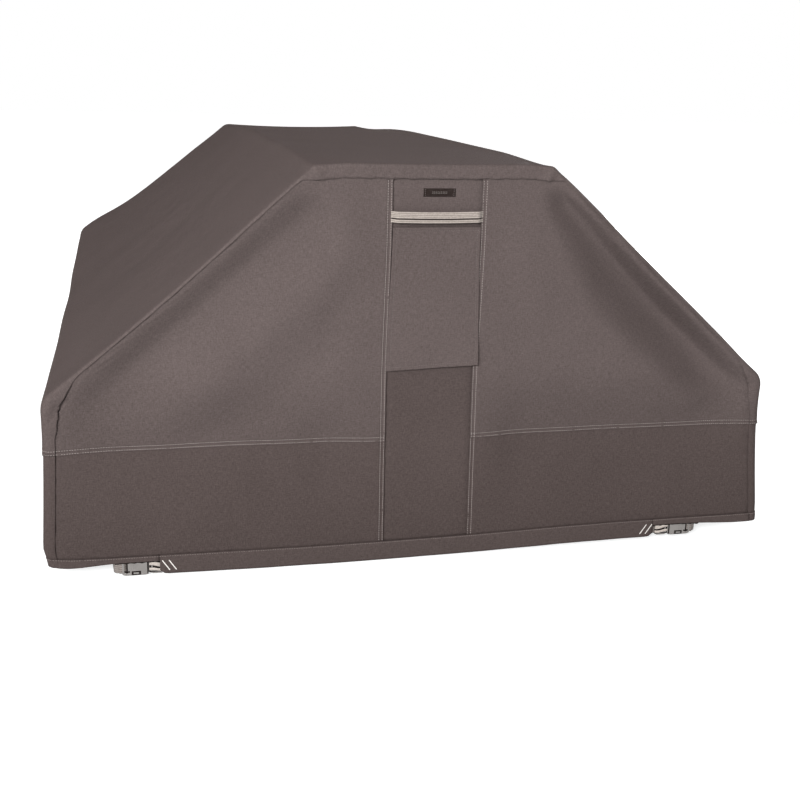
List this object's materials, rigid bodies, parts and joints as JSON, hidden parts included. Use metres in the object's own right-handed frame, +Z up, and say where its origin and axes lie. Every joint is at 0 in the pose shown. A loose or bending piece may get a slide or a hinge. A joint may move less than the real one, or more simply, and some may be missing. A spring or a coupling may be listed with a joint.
{
  "type": "picnic table cover",
  "caption": "Fitted fabric cover for an A-frame picnic table, with a flapped vent and a webbing handle on each end and buckled straps round the legs.",
  "frame": {"origin": "under the middle of the cover, level with its lowest hem", "axes": "+Z up, +Y along the table towards the back end, +X across the benches to the right"},
  "size_m": [1.36, 1.8512, 0.727],
  "materials": {
    "cover_fabric": "matt coated woven polyester, taupe",
    "skirt_fabric": "matt coated woven polyester, darker taupe",
    "hem_fabric": "matt woven polyester, folded double",
    "vent_mesh": "open polyester mesh",
    "handle_webbing": "ribbed beige webbing",
    "strap_webbing": "ribbed grey-brown webbing",
    "label": "woven label, blank",
    "buckle": "moulded grey resin"
  },
  "bodies": {
    "cover": {"back_centre_hem": "hem_fabric", "back_centre_panel": "skirt_fabric", "back_left_buckle_socket": "buckle", "back_left_gore": "cover_fabric", "back_left_hem": "hem_fabric", "back_left_leg_loop": "strap_webbing", "back_left_skirt": "skirt_fabric", "back_left_strap_tab": "strap_webbing", "back_right_buckle_socket": "buckle", "back_right_gore": "cover_fabric", "back_right_hem": "hem_fabric", "back_right_leg_loop": "strap_webbing", "back_right_skirt": "skirt_fabric", "back_right_strap_tab": "strap_webbing", "back_vent_header": "cover_fabric", "back_vent_mesh": "vent_mesh", "front_centre_hem": "hem_fabric", "front_centre_panel": "skirt_fabric", "front_label": "label", "front_left_buckle_socket": "buckle", "front_left_gore": "cover_fabric", "front_left_hem": "hem_fabric", "front_left_leg_loop": "strap_webbing", "front_left_skirt": "skirt_fabric", "front_left_strap_tab": "strap_webbing", "front_right_buckle_socket": "buckle", "front_right_gore": "cover_fabric", "front_right_hem": "hem_fabric", "front_right_leg_loop": "strap_webbing", "front_right_skirt": "skirt_fabric", "front_right_strap_tab": "strap_webbing", "front_vent_header": "cover_fabric", "front_vent_mesh": "vent_mesh", "left_hem": "hem_fabric", "left_skirt": "skirt_fabric", "main_panel": "cover_fabric", "right_hem": "hem_fabric", "right_skirt": "skirt_fabric"},
    "front_flap": {"front_vent_flap": "cover_fabric"},
    "front_handle": {"front_handle_webbing": "handle_webbing", "front_handle_backing": "handle_webbing"},
    "front_left_plug": {"front_left_buckle_plug": "buckle", "front_left_plug_tail": "strap_webbing"},
    "front_right_plug": {"front_right_buckle_plug": "buckle", "front_right_plug_tail": "strap_webbing"},
    "back_flap": {"back_vent_flap": "cover_fabric"},
    "back_handle": {"back_handle_webbing": "handle_webbing", "back_handle_backing": "handle_webbing"},
    "back_left_plug": {"back_left_buckle_plug": "buckle", "back_left_plug_tail": "strap_webbing"},
    "back_right_plug": {"back_right_buckle_plug": "buckle", "back_right_plug_tail": "strap_webbing"}
  },
  "joints": [
    {"name": "front_flap_lift", "type": "hinge", "parent": "cover", "child": "front_flap", "pos_m": [0, -0.9175, 0.6115], "axis": [-1, 0, 0], "range_deg": [0, 110]},
    {"name": "front_handle_lift", "type": "hinge", "parent": "cover", "child": "front_handle", "pos_m": [0, -0.917, 0.6415], "axis": [-1, 0, 0], "range_deg": [0, 90]},
    {"name": "front_left_plug_pull", "type": "slide", "parent": "cover", "child": "front_left_plug", "axis": [1, 0, 0], "range_m": [0, 0.036]},
    {"name": "front_right_plug_pull", "type": "slide", "parent": "cover", "child": "front_right_plug", "axis": [-1, 0, 0], "range_m": [0, 0.036]},
    {"name": "back_flap_lift", "type": "hinge", "parent": "cover", "child": "back_flap", "pos_m": [0, 0.9175, 0.6115], "axis": [1, 0, 0], "range_deg": [0, 110]},
    {"name": "back_handle_lift", "type": "hinge", "parent": "cover", "child": "back_handle", "pos_m": [0, 0.917, 0.6415], "axis": [1, 0, 0], "range_deg": [0, 90]},
    {"name": "back_left_plug_pull", "type": "slide", "parent": "cover", "child": "back_left_plug", "axis": [1, 0, 0], "range_m": [0, 0.036]},
    {"name": "back_right_plug_pull", "type": "slide", "parent": "cover", "child": "back_right_plug", "axis": [-1, 0, 0], "range_m": [0, 0.036]}
  ]
}
